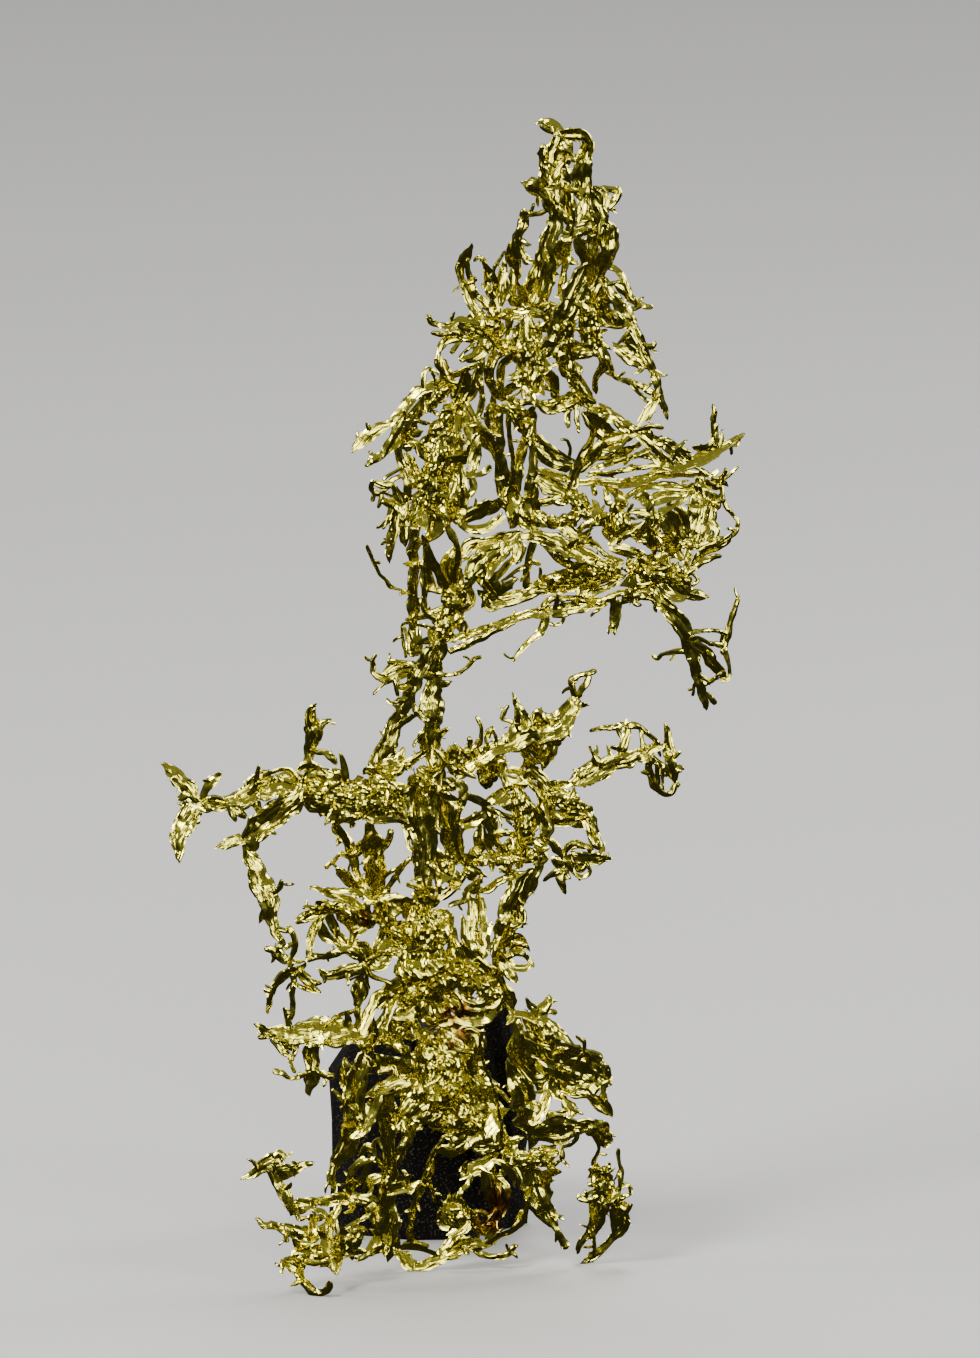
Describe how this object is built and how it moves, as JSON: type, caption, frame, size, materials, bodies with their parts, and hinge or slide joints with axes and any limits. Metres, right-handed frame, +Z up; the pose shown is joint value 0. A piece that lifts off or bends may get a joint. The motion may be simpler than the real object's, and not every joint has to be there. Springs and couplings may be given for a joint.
{
  "type": "wire gold specimen",
  "caption": "Tree-like native gold of hooked wires, ridged ribbons and crumpled leaves, standing on its own feet and held from behind by a rough black support.",
  "frame": {"origin": "on the ground, under the middle of the specimen's bounding box", "axes": "+Z up, +X to the right seen from the front, +Y to the back, where the support stands"},
  "size_m": [0.0585, 0.0414, 0.1184],
  "materials": {
    "native_gold": "bright natural gold, slightly greenish",
    "support_black": "matt, fine-grained"
  },
  "bodies": {
    "root": {"crown_tip": "native_gold", "crown_left": "native_gold", "crown_core": "native_gold", "right_drape": "native_gold", "crown_middle": "native_gold", "right_arm": "native_gold", "right_fan": "native_gold", "roof": "native_gold", "stem_head": "native_gold", "rear_post": "native_gold", "left_wing": "native_gold", "left_wing_tips": "native_gold", "lower_right_arm": "native_gold", "right_knot": "native_gold", "pendant": "native_gold", "left_stem": "native_gold", "right_stem": "native_gold", "left_arm": "native_gold", "left_arm_leaf": "native_gold", "left_arm_blades": "native_gold", "left_arm_hanger": "native_gold", "trunk": "native_gold", "rising_arm": "native_gold", "far_right_arm": "native_gold", "far_right_claw": "native_gold", "mid_right_mass": "native_gold", "right_star": "native_gold", "lower_blade": "native_gold", "rear_struts": "native_gold", "left_twigs": "native_gold", "left_twig_fork": "native_gold", "left_low_arm": "native_gold", "base_mass": "native_gold", "sheaf": "native_gold", "base_shell": "native_gold", "left_leg": "native_gold", "middle_leg": "native_gold", "left_foot": "native_gold", "left_low_foot": "native_gold", "base_rim": "native_gold", "inner_twigs": "native_gold", "base_strands": "native_gold", "right_low_fan": "native_gold", "right_strip": "native_gold", "right_leg": "native_gold", "right_foot": "native_gold", "support": "support_black"}
  },
  "joints": []
}
